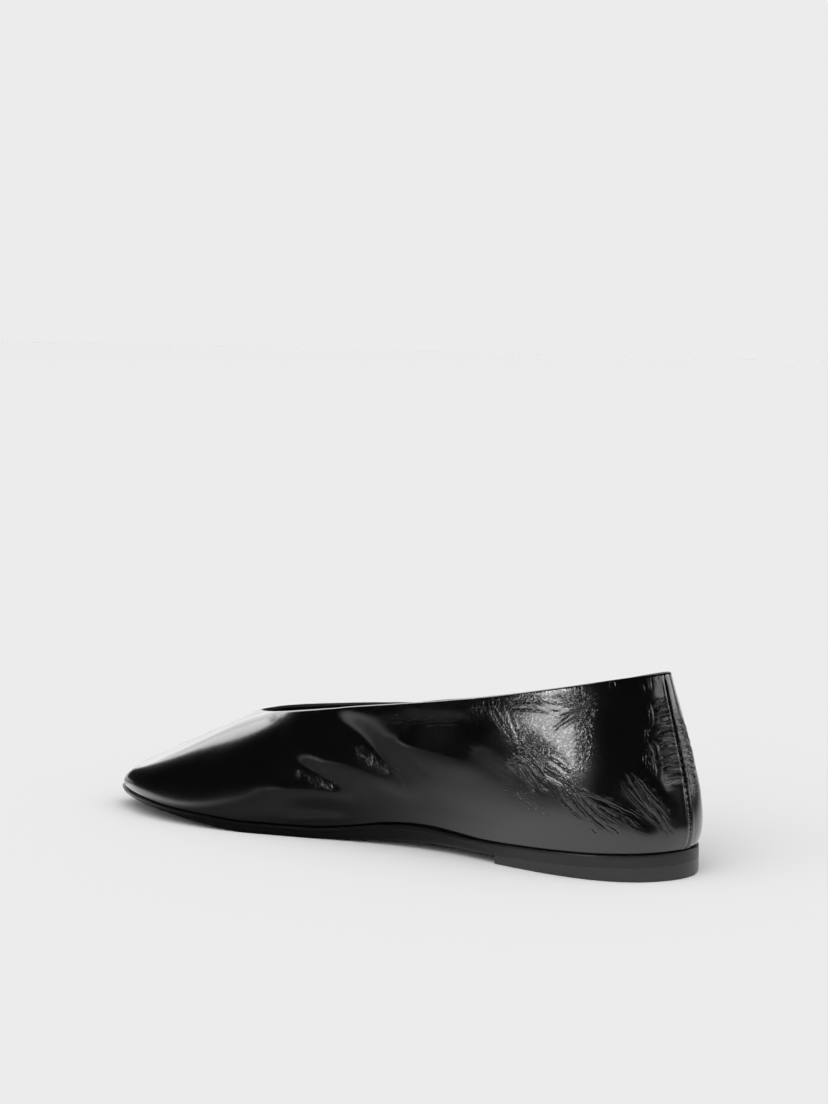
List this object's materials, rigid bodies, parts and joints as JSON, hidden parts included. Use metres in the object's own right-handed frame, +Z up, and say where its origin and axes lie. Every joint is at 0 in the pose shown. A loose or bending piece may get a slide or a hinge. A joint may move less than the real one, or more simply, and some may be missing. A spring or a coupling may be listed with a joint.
{
  "type": "ballet flat",
  "caption": "Low pointed ballet flat for the right foot, with a soft wrapped upper seamed at the back, a thin arched outsole, a low wedge heel and an insole.",
  "frame": {"origin": "centre of the shoe in plan, on the floor plane that the heel and the ball of the outsole stand on", "axes": "+Y from heel to toe, +X towards the wearer's right, which is the outer side of this right shoe, +Z up"},
  "size_m": [0.0762, 0.2612, 0.073],
  "materials": {
    "upper": "glossy crinkled black patent",
    "outsole": "satin black",
    "heel": "satin black",
    "insole": "matt black"
  },
  "bodies": {
    "root": {"upper": "upper", "outsole": "outsole", "heel": "heel", "insole": "insole"}
  },
  "joints": []
}
